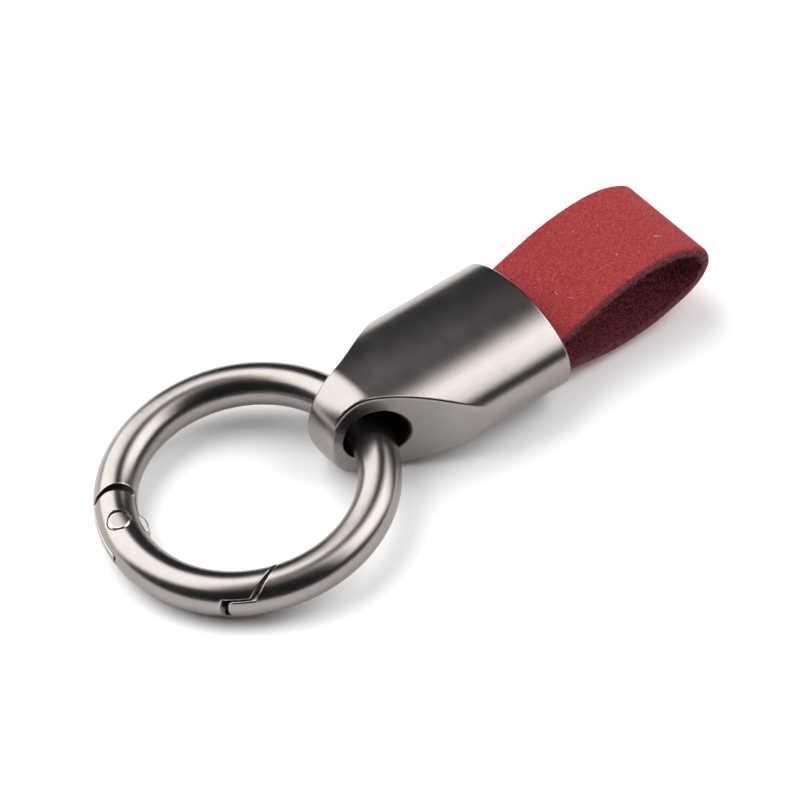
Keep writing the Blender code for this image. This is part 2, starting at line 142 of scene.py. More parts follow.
def points_of(piece):
    points = np.empty(3 * len(piece.data.vertices))
    piece.data.vertices.foreach_get("co", points)
    return points.reshape(-1, 3)


def tube(rows, columns):
    """The faces between rings of points, each anticlockwise as seen from the next, and the two that close them."""
    here = np.arange(rows - 1)[:, None] * columns + np.arange(columns)
    beside = np.arange(rows - 1)[:, None] * columns + (np.arange(columns) + 1) % columns
    faces = np.stack([here, beside, beside + columns, here + columns], axis=2).reshape(-1, 4)
    return faces, [list(range(columns - 1, -1, -1)), list(range((rows - 1) * columns, rows * columns))]


# Solids as distances: less than 0 inside, more than 0 outside, in millimetres


def both(first, second, edge):
    """What two solids share: the greater distance, and within `edge` of their meeting the length of both."""
    corner = np.hypot(np.maximum(first + edge, 0), np.maximum(second + edge, 0))
    return np.minimum(np.maximum(first, second) + edge, 0) + corner - edge


def either(first, second, edge):
    return -both(-first, -second, edge)


def cut(solid, tool, edge):
    return both(solid, -tool, edge)


def ease(share):
    """From 0 to 1 with no slope at either end: 3 s^2 - 2 s^3."""
    share = np.clip(share, 0, 1)
    return share**2 * (3 - 2 * share)


def bullet(x, y, z):
    """(|y/w|^n + |z/h|^n)^(1/n) = g across the barrel and (g^m + s^m)^(1/m) - 1 with the way s along its nose,

    divided by the length of its own slope.
    """
    n, m = BARREL_SQUARENESS, NOSE_SQUARENESS
    side, rise = np.abs(y) / BARREL_HALF_WIDTH, np.abs(z) / BARREL_HALF_HEIGHT
    ahead = np.maximum(NOSE_ROUNDING - NOSE_REACH - x, 0) / NOSE_ROUNDING
    round_total = np.maximum(side**n + rise**n, 1e-9)
    section = round_total ** (1 / n)
    total = np.maximum(section**m + ahead**m, 1e-9)
    whole = total ** (1 / m)
    by_section = (section / whole) ** (m - 1)
    by_side = by_section * (side / section) ** (n - 1) / BARREL_HALF_WIDTH
    by_rise = by_section * (rise / section) ** (n - 1) / BARREL_HALF_HEIGHT
    by_ahead = (ahead / whole) ** (m - 1) / NOSE_ROUNDING
    return (whole - 1) / np.maximum(np.sqrt(by_side**2 + by_rise**2 + by_ahead**2), 1e-3)


def cap_solid(x, y, z):
    """An oblong barrel with a rounded nose, cut by a scoop on each side, a rim, the eye and the strap's pocket.

    The scoops leave |y| < min(f, c) - k^2 / 4b, with f = n + (w - n)((1-h)t + h t^2), t = x / scoop length,
    c = w + crest and k = b - |c - f|.
    """
    along = x / SCOOP_LENGTH
    spread = BARREL_HALF_WIDTH - NECK_HALF_WIDTH
    flare = NECK_HALF_WIDTH + spread * ((1 - SCOOP_HOLLOW) * along + SCOOP_HOLLOW * along**2)
    crest = BARREL_HALF_WIDTH + SCOOP_CREST
    near = np.maximum(SCOOP_BLEND - np.abs(crest - flare), 0)
    half = np.minimum(flare, crest) - near**2 / (4 * SCOOP_BLEND)
    slope = spread * ((1 - SCOOP_HOLLOW) + 2 * SCOOP_HOLLOW * along) / SCOOP_LENGTH
    slope = slope * np.where(flare < crest, 1 - near / (2 * SCOOP_BLEND), near / (2 * SCOOP_BLEND))
    scoops = (np.abs(y) - half) / np.hypot(1, slope)
    edge = SCOOP_EDGE + (NOSE_EDGE - SCOOP_EDGE) * ease((NOSE_EDGE_START - x) / NOSE_EDGE_RUN)
    solid = both(bullet(x, y, z), scoops, edge)
    solid = both(solid, x - BARREL_LENGTH, RIM_EDGE)
    solid = cut(solid, np.hypot(x, z) - EYE_RADIUS, EYE_LIP)
    side = np.abs(y) - POCKET_HALF_WIDTH + POCKET_CORNER
    rise = np.abs(z + POCKET_DROP) - POCKET_HALF_HEIGHT + POCKET_CORNER
    pocket = np.hypot(np.maximum(side, 0), np.maximum(rise, 0)) + np.minimum(np.maximum(side, rise), 0)
    pocket = np.maximum(pocket - POCKET_CORNER, BARREL_LENGTH - POCKET_DEPTH - x)
    return cut(solid, pocket, POCKET_EDGE)


RIVET = RING_RADIUS * np.array([np.cos(RIVET_BEARING), np.sin(RIVET_BEARING)])


def ring_measures(x, y, z):
    """For points in the ring's plan: radius, distance to the wire's skin, reach from the rivet, and two sides.

    The first side is how far a point lies past the line from the ring's centre to the rivet, away from the gate,
    and the second how far it lies from the rivet towards the spring.
    """
    radius = np.hypot(x, y)
    wire = np.hypot(radius - RING_RADIUS, z) - WIRE_RADIUS
    reach = np.hypot(x - RIVET[0], y - RIVET[1])
    side = y * np.cos(RIVET_BEARING) - x * np.sin(RIVET_BEARING)
    towards_spring = (x - RIVET[0]) * np.cos(PLUNGER_BEARING) + (y - RIVET[1]) * np.sin(PLUNGER_BEARING)
    return radius, wire, reach, side, towards_spring


def ring_body_solid(x, y, z):
    """The wire without what the gate sweeps, with a thin knuckle at the rivet and a tongue at the closing joint."""
    radius, wire, reach, side, towards_spring = ring_measures(x, y, z)
    arch_centre = (1 - ARCH_SHIFT / RING_RADIUS) * RIVET
    arch = np.hypot(x - arch_centre[0], y - arch_centre[1]) - ARCH_RADIUS
    bar = cut(np.maximum(wire, side), arch, JOINT_EDGE)
    shoulder = both(wire, SHOULDER_REACH - reach, JOINT_EDGE)
    inner = RING_RADIUS - WIRE_RADIUS + TONGUE_FLOOR + TONGUE_INNER_GAP
    tongue = both(np.abs(z) - TONGUE_HALF_THICKNESS, inner - radius, JOINT_EDGE)
    tongue = both(both(wire, tongue, JOINT_EDGE), TONGUE_REACH - reach, 5 * JOINT_EDGE)
    closing = np.maximum(either(shoulder, tongue, 0), -side)
    plate = np.abs(z) - KNUCKLE_HALF_THICKNESS
    turn = RIVET_BEARING + KNUCKLE_ADVANCE / RING_RADIUS
    swell = (RING_RADIUS - KNUCKLE_INSET) * np.array([np.cos(turn), np.sin(turn)])
    bump = np.hypot(x - swell[0], y - swell[1]) - KNUCKLE_RADIUS
    near_rivet = reach - ARCH_RADIUS - ARCH_SHIFT - WIRE_RADIUS
    knuckle = both(either(wire, bump, 0), plate, JOINT_EDGE)
    knuckle = both(np.maximum(knuckle, near_rivet), towards_spring - CAM_REACH, JOINT_EDGE)
    return np.minimum(np.minimum(bar, knuckle), closing)


def gate_solid(x, y, z):
    """The wire from its round ears at the rivet to the lip of the closing joint, slotted at both ends."""
    radius, wire, reach, side, towards_spring = ring_measures(x, y, z)
    ears = np.minimum(reach - EAR_RADIUS, -side)
    across = (RING_RADIUS + WIRE_RADIUS - radius) / (2 * WIRE_RADIUS)
    lip = reach - GATE_END_REACH - (GATE_LIP_REACH - GATE_END_REACH) * across
    solid = both(both(wire, ears, JOINT_EDGE), lip, JOINT_EDGE)
    floor = radius - (RING_RADIUS - WIRE_RADIUS + TONGUE_FLOOR)
    slot = np.maximum(np.abs(z) - TONGUE_SLOT_HALF_WIDTH, np.maximum(TONGUE_SLOT_REACH - reach, -floor))
    solid = cut(solid, slot, JOINT_EDGE)
    slot_reach = KNUCKLE_SLOT_REACH - KNUCKLE_SLOT_SLANT * np.clip((radius - RING_RADIUS) / WIRE_RADIUS, 0, 1)
    hinge_slot = np.maximum(np.abs(z) - KNUCKLE_SLOT_HALF_WIDTH, towards_spring - slot_reach)
    solid = cut(solid, hinge_slot, JOINT_EDGE)
    return cut(solid, reach - RIVET_RADIUS - RIVET_GAP, JOINT_EDGE / 2)


def slope_of(solid, points):
    """The way a distance grows fastest, from its values a little to each side."""
    steps = np.eye(3) * SLOPE_STEP
    slopes = [solid(*(points + step).T) - solid(*(points - step).T) for step in steps]
    slope = np.stack(slopes, axis=1) / (2 * SLOPE_STEP)
    return slope, np.linalg.norm(slope, axis=1, keepdims=True)


def onto_skin(solid, points, rounds):
    """The points brought onto the skin by Newton steps: p - f s / |s|^2, with the distance f and its slope s."""
    for _ in range(rounds):
        slope, length = slope_of(solid, points)
        points = points - slope * solid(*points.T)[:, None] / np.maximum(length, LEAST_SLOPE) ** 2
    return points


def sides_of(quads):
    """Each face's four sides, as pairs of points."""
    return np.concatenate([quads[:, [k, (k + 1) % 4]] for k in range(4)])


def mean_over(sides, values, count):
    """The mean of the values over the sides that start at each point."""
    return np.bincount(sides[:, 0], values, count) / np.bincount(sides[:, 0], minlength=count)


def skin_of(solid, low, high, step):
    """The skin of a solid given by its distance: one point in each cell that the skin crosses, four to a face.

    A point starts at the mean of the crossings on its cell's edges, is evened out between its neighbours, and is
    then brought onto the skin along the slope of the distance.
    """
    axes = [np.arange(a, b + step, step) for a, b in zip(low, high)]
    field = solid(*np.meshgrid(*axes, indexing="ij", sparse=True))
    shape = np.array(field.shape) - 1
    corners = np.array([(i, j, k) for i in (0, 1) for j in (0, 1) for k in (0, 1)])
    inside = field < 0
    spans = [tuple(slice(start, start + size) for start, size in zip(corner, shape)) for corner in corners]
    count = sum(inside[part].astype(np.int8) for part in spans)
    cells = np.argwhere((count > 0) & (count < 8))
    number = np.full(shape, -1, dtype=np.int64)
    number[tuple(cells.T)] = np.arange(len(cells))
    values = np.stack([field[tuple((cells + corner).T)] for corner in corners], axis=1)
    total = np.zeros((len(cells), 3))
    crossings = np.zeros((len(cells), 1))
    for first, here in enumerate(corners):
        for second, there in enumerate(corners):
            if second <= first or np.abs(here - there).sum() != 1:
                continue
            a, b = values[:, first], values[:, second]
            crossed = ((a < 0) != (b < 0))[:, None]
            share = (a / np.where(crossed[:, 0], a - b, 1))[:, None]
            total += np.where(crossed, here + share * (there - here), 0)
            crossings += crossed
    points = (cells + total / crossings) * step + np.array([axis[0] for axis in axes])

    quads = []
    for axis in range(3):
        one, two = (axis + 1) % 3, (axis + 2) % 3
        behind, ahead = [slice(1, -1)] * 3, [slice(1, -1)] * 3
        behind[axis] = slice(None, -1)
        ahead[axis] = slice(1, None)
        start, stop = inside[tuple(behind)], inside[tuple(ahead)]
        where = np.argwhere(start != stop)
        where[:, one] += 1
        where[:, two] += 1
        around = []
        for back_one, back_two in ((1, 1), (0, 1), (0, 0), (1, 0)):
            cell = where.copy()
            cell[:, one] -= back_one
            cell[:, two] -= back_two
            around.append(number[tuple(cell.T)])
        faces = np.stack(around, axis=1)
        leaving = start[start != stop]
        faces[~leaving] = faces[~leaving][:, ::-1]
        quads.append(faces)
    quads = np.concatenate(quads)

    sides = sides_of(quads)
    for _ in range(SETTLING_ROUNDS):
        mean = np.stack([mean_over(sides, points[sides[:, 1], k], len(points)) for k in range(3)], axis=1)
        points = onto_skin(solid, (points + mean) / 2, 1)
    points = onto_skin(solid, points, LAST_ROUNDS)
    slope, length = slope_of(solid, points)
    return points, quads, slope / np.maximum(length, 1e-6)


def edge_wear(points, quads, normals, strength):
    """1 on the sharpest outer edges: how far the skin falls away round each point, times the strength."""
    sides = sides_of(quads)
    fall = -np.einsum("ij,ij->i", points[sides[:, 1]] - points[sides[:, 0]], normals[sides[:, 0]])
    return np.clip(mean_over(sides, fall, len(points)) * strength, 0, 1)


def cast(name, solid, low, high, step, turn, place, wear):
    """A casting's skin, turned and set in its place, that shades by the solid's own slope."""
    points, quads, normals = skin_of(solid, low, high, step)
    piece = link_mesh(name, points @ turn.T + place, quads)
    paint(piece, "worn", edge_wear(points, quads, normals, wear))
    piece.data.normals_split_custom_set_from_vertices((normals @ turn.T).tolist())
    return piece


def turn_of(tilt, yaw):
    """Matrix that turns the ring's plan round by its yaw and then leans it down to the floor by its tilt."""
    return np.array(Matrix.Rotation(-tilt, 3, "Y") @ Matrix.Rotation(yaw, 3, "Z"))


def paint_bore_shade(piece):
    """A share for each point, 1 inside the eye's bore, where painted shade darkens the plating's colour and the
    metal is made rougher.
    """
    x, _, z = (points_of(piece) / MM - EYE).T
    paint(piece, "bore", ease((EYE_RADIUS + EYE_LIP - np.hypot(x, z)) / EYE_LIP))


# Strap


STRAP_HALF_WIDTH = 6.9
STRAP_THICKNESS = 1.3
LEG_SPREAD = 5.4
LEG_DROP = 0.68
LEG_STRAIGHT = 2.5
LOOP_LENGTH = 22.6
LOOP_HEIGHT = 9.3
LOOP_FLOOR_GAP = 1.25
LOOP_SHARES = np.array(
    [
        (0.205, 0.776),
        (0.422, 0.938),
        (0.643, 1.0),
        (0.811, 0.955),
        (0.953, 0.790),
        (1.0, 0.581),
        (0.986, 0.414),
        (0.926, 0.269),
        (0.820, 0.151),
        (0.643, 0.038),
        (0.466, 0.0),
        (0.315, 0.022),
        (0.156, 0.091),
    ]
)
STRAP_STEPS = 420
STRAP_CORNER = 0.24
STRAP_END_GAP = 0.3
RAGGED_EDGE = 0.075
FLESH_LUMPS = 0.07
FACE_STEPS = 60
CORNER_STEPS = 5
CUT_STEPS = 5


def waves(points, finest, coarsest, seed, count=40):
    """A smooth random height between about -1 and 1: many sines, of random directions, lengths and phases."""
    random = np.random.default_rng(seed)
    ways = random.normal(size=(points.shape[1], count))
    ways /= np.linalg.norm(ways, axis=0)
    lengths = np.exp(random.uniform(np.log(finest), np.log(coarsest), count))
    phases = random.uniform(0, 2 * np.pi, count)
    total = np.zeros(len(points))
    for way, length, phase in zip(ways.T, lengths, phases):
        total += np.sin(points @ way * (2 * np.pi / length) + phase)
    return total / np.sqrt(count)


def smooth_through(points, steps):
    """A curve through the points whose slope at each is half the way between its neighbours."""
    ends = np.concatenate([[2 * points[0] - points[1]], points, [2 * points[-1] - points[-2]]])
    a, b, c, d = (ends[k : len(ends) - 3 + k, None] for k in range(4))
    t = np.linspace(0, 1, steps, endpoint=False)[None, :, None]
    curve = b + (c - a) * t / 2 + (2 * a - 5 * b + 4 * c - d) * t**2 / 2 + (3 * b - a - 3 * c + d) * t**3 / 2
    return np.concatenate([curve.reshape(-1, 2), points[-1:]])


def evenly(points, count):
    """The same line, as points at equal distances along it."""
    along = np.concatenate([[0], np.cumsum(np.linalg.norm(np.diff(points, axis=0), axis=1))])
    wanted = np.linspace(0, along[-1], count)
    return np.stack([np.interp(wanted, along, points[:, k]) for k in range(2)], axis=1), wanted


def strap_middle():
    """The strip's middle as (x, z) from the eye, with its length so far and the way outwards, to the grain."""
    lowest = LOOP_FLOOR_GAP + STRAP_THICKNESS / 2 - BARREL_HALF_HEIGHT
    loop = LOOP_SHARES * [LOOP_LENGTH, LOOP_HEIGHT] + [BARREL_LENGTH, lowest]
    upper = (LEG_SPREAD - STRAP_THICKNESS) / 2 - LEG_DROP
    lower = -(LEG_SPREAD - STRAP_THICKNESS) / 2 - LEG_DROP
    end = BARREL_LENGTH - POCKET_DEPTH + STRAP_END_GAP
    bend = BARREL_LENGTH - LEG_STRAIGHT
    route = np.array([(bend, upper), (BARREL_LENGTH, upper), *loop, (BARREL_LENGTH, lower), (bend, lower)])
    line = np.concatenate([[(end, upper)], smooth_through(route, 24), [(end, lower)]])
    middle, along = evenly(line, STRAP_STEPS)
    tangent = np.gradient(middle, axis=0)
    tangent /= np.linalg.norm(tangent, axis=1, keepdims=True)
    return middle, along, np.stack([-tangent[:, 1], tangent[:, 0]], axis=1)


def strip_section():
    """The strip's section as (across, out), with rounded corners, and the share of each point in each finish.

    It runs from the near cut edge over the grain to the far cut edge and back along the flesh side.
    """
    half = STRAP_THICKNESS / 2
    corners = []
    for centre_side, centre_out, first in ((1, 1, 0), (-1, 1, 90), (-1, -1, 180), (1, -1, 270)):
        turn = np.radians(first + 90 * np.linspace(0, 1, CORNER_STEPS))
        corners.append(
            np.stack(
                [
                    centre_side * (STRAP_HALF_WIDTH - STRAP_CORNER) + STRAP_CORNER * np.cos(turn),
                    centre_out * (half - STRAP_CORNER) + STRAP_CORNER * np.sin(turn),
                ],
                axis=1,
            )
        )
    steps = (FACE_STEPS, CUT_STEPS, FACE_STEPS, CUT_STEPS)
    pieces = []
    for corner, following, count in zip(corners, corners[1:] + corners[:1], steps):
        share = np.linspace(0, 1, count + 2)[1:-1, None]
        pieces += [corner, corner[-1] + (following[0] - corner[-1]) * share]
    section = np.concatenate(pieces)
    side = np.clip((np.abs(section[:, 0]) - STRAP_HALF_WIDTH + 0.7 * STRAP_CORNER) / (0.3 * STRAP_CORNER), 0, 1)
    side = side * np.clip((0.62 - section[:, 1] / half) / 0.3, 0, 1)
    flesh = np.clip(0.5 - section[:, 1] / (0.6 * half), 0, 1)
    return section, side, flesh


def build_strap():
    """The strip's section carried round the loop, with its flesh side and cut edges roughened."""
    middle, along, outward = strap_middle()
    section, side, flesh = strip_section()
    across = np.broadcast_to(section[:, 0], (len(middle), len(section)))
    out = np.broadcast_to(section[:, 1], across.shape)
    lengthwise = np.broadcast_to(along[:, None], across.shape)
    flat = np.stack([lengthwise.ravel(), across.ravel(), out.ravel()], axis=1)
    ragged = (side * (0.35 + 0.65 * flesh))[None] * waves(flat, 0.35, 1.4, 3).reshape(across.shape) * RAGGED_EDGE
    lumps = (flesh * (1 - side))[None] * waves(flat, 0.4, 1.6, 4).reshape(across.shape) * FLESH_LUMPS
    across = across + ragged * np.sign(across)
    out = out - lumps - ragged * (flesh * side)[None]
    x = middle[:, :1] + outward[:, :1] * out
    z = middle[:, 1:] + outward[:, 1:] * out
    points = np.stack([x, across, z], axis=2).reshape(-1, 3) + EYE
    piece = link_mesh("leather_strap", points, *tube(*across.shape))
    for name, values in (("cut_edge", side), ("flesh_side", flesh)):
        paint(piece, name, np.tile(values, len(across)))
    return piece


FIBRE_COUNT = 2400
FIBRE_SIDES = 3
FIBRE_STEPS = 4
FIBRE_ROOT_DEPTH = 0.08
FIBRE_THICKNESS = 0.022
LINT_THICKNESS = 0.045
LINT_LIFT = 0.03
LINT_ARCH = 0.25
LINT_CURL = 0.12


def tapered_fibres(name, roots, ways, bends, lengths, thickness):
    """Fibres as three-sided tubes: p(t) = root + length (way t + bend t^2), thinning to a point at t = 1."""
    t = np.linspace(0, 1, FIBRE_STEPS)[None, :, None]
    spine = roots[:, None] + lengths[:, None, None] * (ways[:, None] * t + bends[:, None] * t**2)
    side = np.cross(ways, [0.3, 0.5, 0.81])
    side /= np.linalg.norm(side, axis=1, keepdims=True)
    up = np.cross(ways, side)
    turns = 2 * np.pi * np.arange(FIBRE_SIDES) / FIBRE_SIDES
    ring = side[:, None] * np.cos(turns)[None, :, None] + up[:, None] * np.sin(turns)[None, :, None]
    width = thickness * (1 - 0.85 * np.linspace(0, 1, FIBRE_STEPS))[None, :, None, None]
    points = (spine[:, :, None] + ring[:, None] * width).reshape(-1, 3)
    sides, ends = tube(FIBRE_STEPS, FIBRE_SIDES)
    base = np.arange(len(roots))[:, None, None] * FIBRE_STEPS * FIBRE_SIDES
    sides = (base + sides).reshape(-1, 4)
    ends = (base + np.array(ends)).reshape(-1, FIBRE_SIDES)
    return link_mesh(name, points, sides, ends.tolist())


def build_fuzz():
    """Short fibres that stand off both cut edges, thickest at the flesh side's corner."""
    random = np.random.default_rng(11)
    middle, along, outward = strap_middle()
    shown = np.flatnonzero(middle[:, 0] > BARREL_LENGTH - 0.5)
    row = random.choice(shown, FIBRE_COUNT)
    side = random.choice([-1, 1], FIBRE_COUNT)
    out = STRAP_THICKNESS * (0.5 - random.beta(2.2, 1.1, FIBRE_COUNT))
    roots = np.stack(
        [
            middle[row, 0] + outward[row, 0] * out,
            side * (STRAP_HALF_WIDTH - FIBRE_ROOT_DEPTH),
            middle[row, 1] + outward[row, 1] * out,
        ],
        axis=1,
    )
    low = (out < -0.3 * STRAP_THICKNESS)[:, None]
    nought = np.zeros(FIBRE_COUNT)
    inward = np.stack([-outward[row, 0], nought, -outward[row, 1]], axis=1)
    ways = np.stack([nought, side, nought], axis=1) * 0.6 + inward * np.where(low, 1, 0.2)
    ways += random.normal(scale=0.45, size=ways.shape)
    ways /= np.linalg.norm(ways, axis=1, keepdims=True)
    bends = random.normal(scale=0.35, size=ways.shape)
    lengths = random.uniform(0.12, 0.5, FIBRE_COUNT)
    return tapered_fibres("edge_fuzz", roots + EYE, ways, bends, lengths, FIBRE_THICKNESS)


# Pale specks of lint on the strap's upper face: distance from the eye, place across, bearing and length
LINT = np.array(
    [
        (27.9, -2.1, 76, 0.65),
        (28.7, -3.9, 105, 0.75),
        (41.0, -3.3, -38, 1.0),
        (35.9, -3.1, 70, 0.5),
        (34.4, 3.2, 60, 0.45),
        (30.1, -0.5, 150, 0.35),
        (37.0, 2.0, 20, 0.4),
    ]
)


def build_lint():
    """Fibres that lie on the grain side of the strap's upper run, arched a little off it."""
    middle, along, outward = strap_middle()
    upper = np.flatnonzero(outward[:, 1] > 0.3)
    row = upper[np.abs(middle[upper, :1] - LINT[:, 0]).argmin(axis=0)]
    skin = middle[row] + outward[row] * (STRAP_THICKNESS / 2 + LINT_LIFT)
    roots = np.stack([skin[:, 0], LINT[:, 1], skin[:, 1]], axis=1)
    cosine, sine = np.cos(np.radians(LINT[:, 2:3])), np.sin(np.radians(LINT[:, 2:3]))
    nought = np.zeros(len(LINT))
    normals = np.stack([outward[row, 0], nought, outward[row, 1]], axis=1)
    forward = np.stack([outward[row, 1], nought, -outward[row, 0]], axis=1)
    sideways = np.array([0, 1, 0])
    ways = cosine * forward + sine * sideways + LINT_ARCH * normals
    bends = LINT_CURL * (cosine * sideways - sine * forward) - LINT_ARCH * normals
    return tapered_fibres("strap_lint", roots + EYE, ways, bends, LINT[:, 3], LINT_THICKNESS)


# Rivet, as shares of its radius, and how far its filed ends stand below the wire
RIVET_EDGE = 0.14
RIVET_EDGE_DROP = 0.6
RIVET_CROWN = 0.03
RIVET_FILED_LEVEL = WIRE_RADIUS - 0.16
RIVET_WORN_FROM = 0.72
RIVET_WORN_RUN = 0.2


def build_rivet(turn):
    """The rivet's skin: rings of points out from its axis over one filed end, down its side and over the other.

    Each end lies between the height of the wire, sqrt(r^2 - (radius - R)^2), and the level it is filed to, less a
    rounding at its rim.
    """
    turns = np.linspace(0, 2 * np.pi, 72, endpoint=False)
    bend = np.linspace(0, np.pi / 2, 7)[1:]
    flat = np.linspace(0.02, 1 - RIVET_EDGE, 12)
    rim = np.concatenate([flat, 1 - RIVET_EDGE * np.cos(bend)])
    drop = np.concatenate([0 * flat, RIVET_EDGE * (1 - np.cos(bend))]) * RIVET_EDGE_DROP
    crown = RIVET_CROWN * (1 - rim**2)
    x = RIVET[0] + RIVET_RADIUS * rim[:, None] * np.cos(turns)
    y = RIVET[1] + RIVET_RADIUS * rim[:, None] * np.sin(turns)
    wire = np.sqrt(WIRE_RADIUS**2 - (np.hypot(x, y) - RING_RADIUS) ** 2)
    wire = (1 - RIVET_FILING) * wire + RIVET_FILING * RIVET_FILED_LEVEL
    top = np.stack([x, y, wire + crown[:, None] - drop[:, None] * RIVET_RADIUS], axis=2)
    foot = np.stack([x, y, -wire - crown[:, None] + drop[:, None] * RIVET_RADIUS], axis=2)[::-1]
    grid = np.concatenate([top, foot])[::-1]
    piece = link_mesh("filed_rivet", grid.reshape(-1, 3) @ turn.T + RING_CENTRE, *tube(*grid.shape[:2]))
    share = np.clip((rim - RIVET_WORN_FROM) / RIVET_WORN_RUN, 0, 1)
    paint(piece, "worn", np.repeat(np.concatenate([share, share[::-1]]), len(turns)))
    return piece


# Materials


def node(tree, kind, inputs=(), **settings):
    """A shader node with its settings made; an input that is given a socket is linked to it."""
    made = tree.nodes.new("ShaderNode" + kind)
    for name, value in settings.items():
        setattr(made, name, value)
    for name, value in dict(inputs).items():
        if isinstance(value, bpy.types.NodeSocket):
            tree.links.new(value, made.inputs[name])
        else:
            made.inputs[name].default_value = value
    return made


def noise(tree, vector, scale, detail=2.0, roughness=0.5):
    """Noise of about scale bumps to a millimetre."""
    inputs = {"Vector": vector, "Scale": scale, "Detail": detail, "Roughness": roughness}
    return node(tree, "TexNoise", inputs).outputs[0]


def span(tree, value, low, high, out_low=0.0, out_high=1.0):
    """value from low..high to out_low..out_high, clamped."""
    inputs = {"Value": value, "From Min": low, "From Max": high, "To Min": out_low, "To Max": out_high}
    return node(tree, "MapRange", inputs).outputs[0]


def maths(tree, operation, first, second=0.0):
    return node(tree, "Math", {0: first, 1: second}, operation=operation).outputs[0]


def product(tree, *factors):
    result = factors[0]
    for factor in factors[1:]:
        result = maths(tree, "MULTIPLY", result, factor)
    return result


def scaled(tree, vector, scale):
    return node(tree, "VectorMath", {0: vector, "Scale": scale}, operation="SCALE").outputs[0]


def stretched(tree, vector, scale, turn=(0, 0, 0)):
    return node(tree, "Mapping", {"Vector": vector, "Rotation": turn, "Scale": scale}).outputs[0]


def blend_colours(tree, share, first, second):
    """From the first colour to the second, each a socket or red, green and blue."""
    inputs = {0: share, 6: first, 7: second}
    for place, colour in ((6, first), (7, second)):
        if isinstance(colour, tuple):
            inputs[place] = (*colour, 1)
    return node(tree, "Mix", inputs, data_type="RGBA").outputs[2]


def bumps(tree, height):
    """The normal of a skin with that height, in millimetres."""
    return node(tree, "Bump", {"Height": height, "Distance": MM}).outputs[0]


def millimetres(tree):
    """Object coordinates, in millimetres."""
    return scaled(tree, node(tree, "TexCoord").outputs["Object"], 1 / MM)


def new_group(name, inputs):
    """A shader node group that puts out a finish, and its input and output sockets."""
    tree = bpy.data.node_groups.new(name, "ShaderNodeTree")
    for socket, kind in inputs.items():
        tree.interface.new_socket(socket, in_out="INPUT", socket_type="NodeSocket" + kind)
    for socket, kind in (("Colour", "Color"), ("Roughness", "Float"), ("Normal", "Vector")):
        tree.interface.new_socket(socket, in_out="OUTPUT", socket_type="NodeSocket" + kind)
    return tree, tree.nodes.new("NodeGroupInput").outputs, tree.nodes.new("NodeGroupOutput").inputs


def metal_group():
    """Plated and tumbled metal: faint orange peel, fine grain, hair scratches, pits, edges rubbed bright, and
    painted shade inside the eye's bore.
    """
    names = {"Tint": "Color", "Edge tint": "Color", "Worn": "Float", "Bore": "Float"}
    tree, given, result = new_group("tumbled metal", names)
    place = millimetres(tree)
    peel = noise(tree, place, 0.9, 2)
    grain = noise(tree, place, 9, 3, 0.6)
    cloud = noise(tree, place, 0.35, 3)
    scratches = []
    for turn in ((0.3, 0.9, 0.5), (1.2, -0.4, 2.1), (-0.8, 0.2, 1.3), (2.2, 1.1, -0.6)):
        hair = stretched(tree, place, (0.22, 7, 7), turn)
        scratches.append(span(tree, noise(tree, hair, 1.0, 1), 0.67, 0.74))
    scratch = maths(tree, "MAXIMUM", scratches[0], scratches[1])
    scratch = maths(tree, "MAXIMUM", scratch, maths(tree, "MAXIMUM", scratches[2], scratches[3]))
    cell = node(tree, "TexVoronoi", {"Vector": place, "Scale": 0.4}, feature="F1").outputs["Distance"]
    deep = span(tree, noise(tree, place, 0.3, 1), 0.48, 0.6)
    pit = product(tree, span(tree, cell, 0.022, 0.05, 1, 0), deep)
    edge = product(tree, given["Worn"], span(tree, noise(tree, place, 3.2, 3), 0.3, 0.6, 0.45, 1))
    edge = node(tree, "Clamp", {0: edge}).outputs[0]
    colour = blend_colours(tree, edge, given["Tint"], given["Edge tint"])
    shade = product(
        tree,
        span(tree, cloud, 0.3, 0.7, 0.95, 1.04),
        span(tree, grain, 0.25, 0.75, 0.955, 1.045),
        span(tree, scratch, 0, 1, 1, 1.06),
        # painted shade: the colour falls to 0.16 of itself inside the eye's bore
        span(tree, given["Bore"], 0, 1, 1, 0.16),
        span(tree, pit, 0, 1, 1, 0.5),
    )
    tree.links.new(scaled(tree, colour, shade), result["Colour"])
    rough = span(tree, cloud, 0.3, 0.7, 0.225, 0.25)
    rough = maths(tree, "ADD", rough, span(tree, grain, 0.3, 0.7, -0.02, 0.02))
    rough = maths(tree, "SUBTRACT", rough, product(tree, edge, 0.08))
    rough = maths(tree, "ADD", rough, product(tree, given["Bore"], 0.25))
    tree.links.new(rough, result["Roughness"])
    height = maths(tree, "ADD", product(tree, peel, 0.007), product(tree, grain, 0.0005))
    height = maths(tree, "SUBTRACT", height, product(tree, scratch, 0.0009))
    height = maths(tree, "SUBTRACT", height, product(tree, pit, 0.012))
    tree.links.new(bumps(tree, height), result["Normal"])
    return tree


def new_material(name):
    """A material, its node tree and its Principled shader."""
    material = bpy.data.materials.new(name)
    material.use_nodes = True
    tree = material.node_tree
    return material, tree, tree.nodes["Principled BSDF"]


def finished_material(name, group, painted, values=()):
    """A material with the group's finish, given what is painted on the piece's points and its own values."""
    material, tree, shader = new_material(name)
    finish = node(tree, "Group", values, node_tree=group)
    for socket, attribute in painted.items():
        share = node(tree, "Attribute", attribute_name=attribute).outputs["Fac"]
        tree.links.new(share, finish.inputs[socket])
    tree.links.new(finish.outputs["Colour"], shader.inputs["Base Color"])
    tree.links.new(finish.outputs["Roughness"], shader.inputs["Roughness"])
    tree.links.new(finish.outputs["Normal"], shader.inputs["Normal"])
    return material, shader


def metal_material(name, group, tint, edge_tint):
    values = {"Tint": (*tint, 1), "Edge tint": (*edge_tint, 1)}
    material, shader = finished_material(name, group, {"Worn": "worn", "Bore": "bore"}, values)
    shader.inputs["Metallic"].default_value = 1
    return material


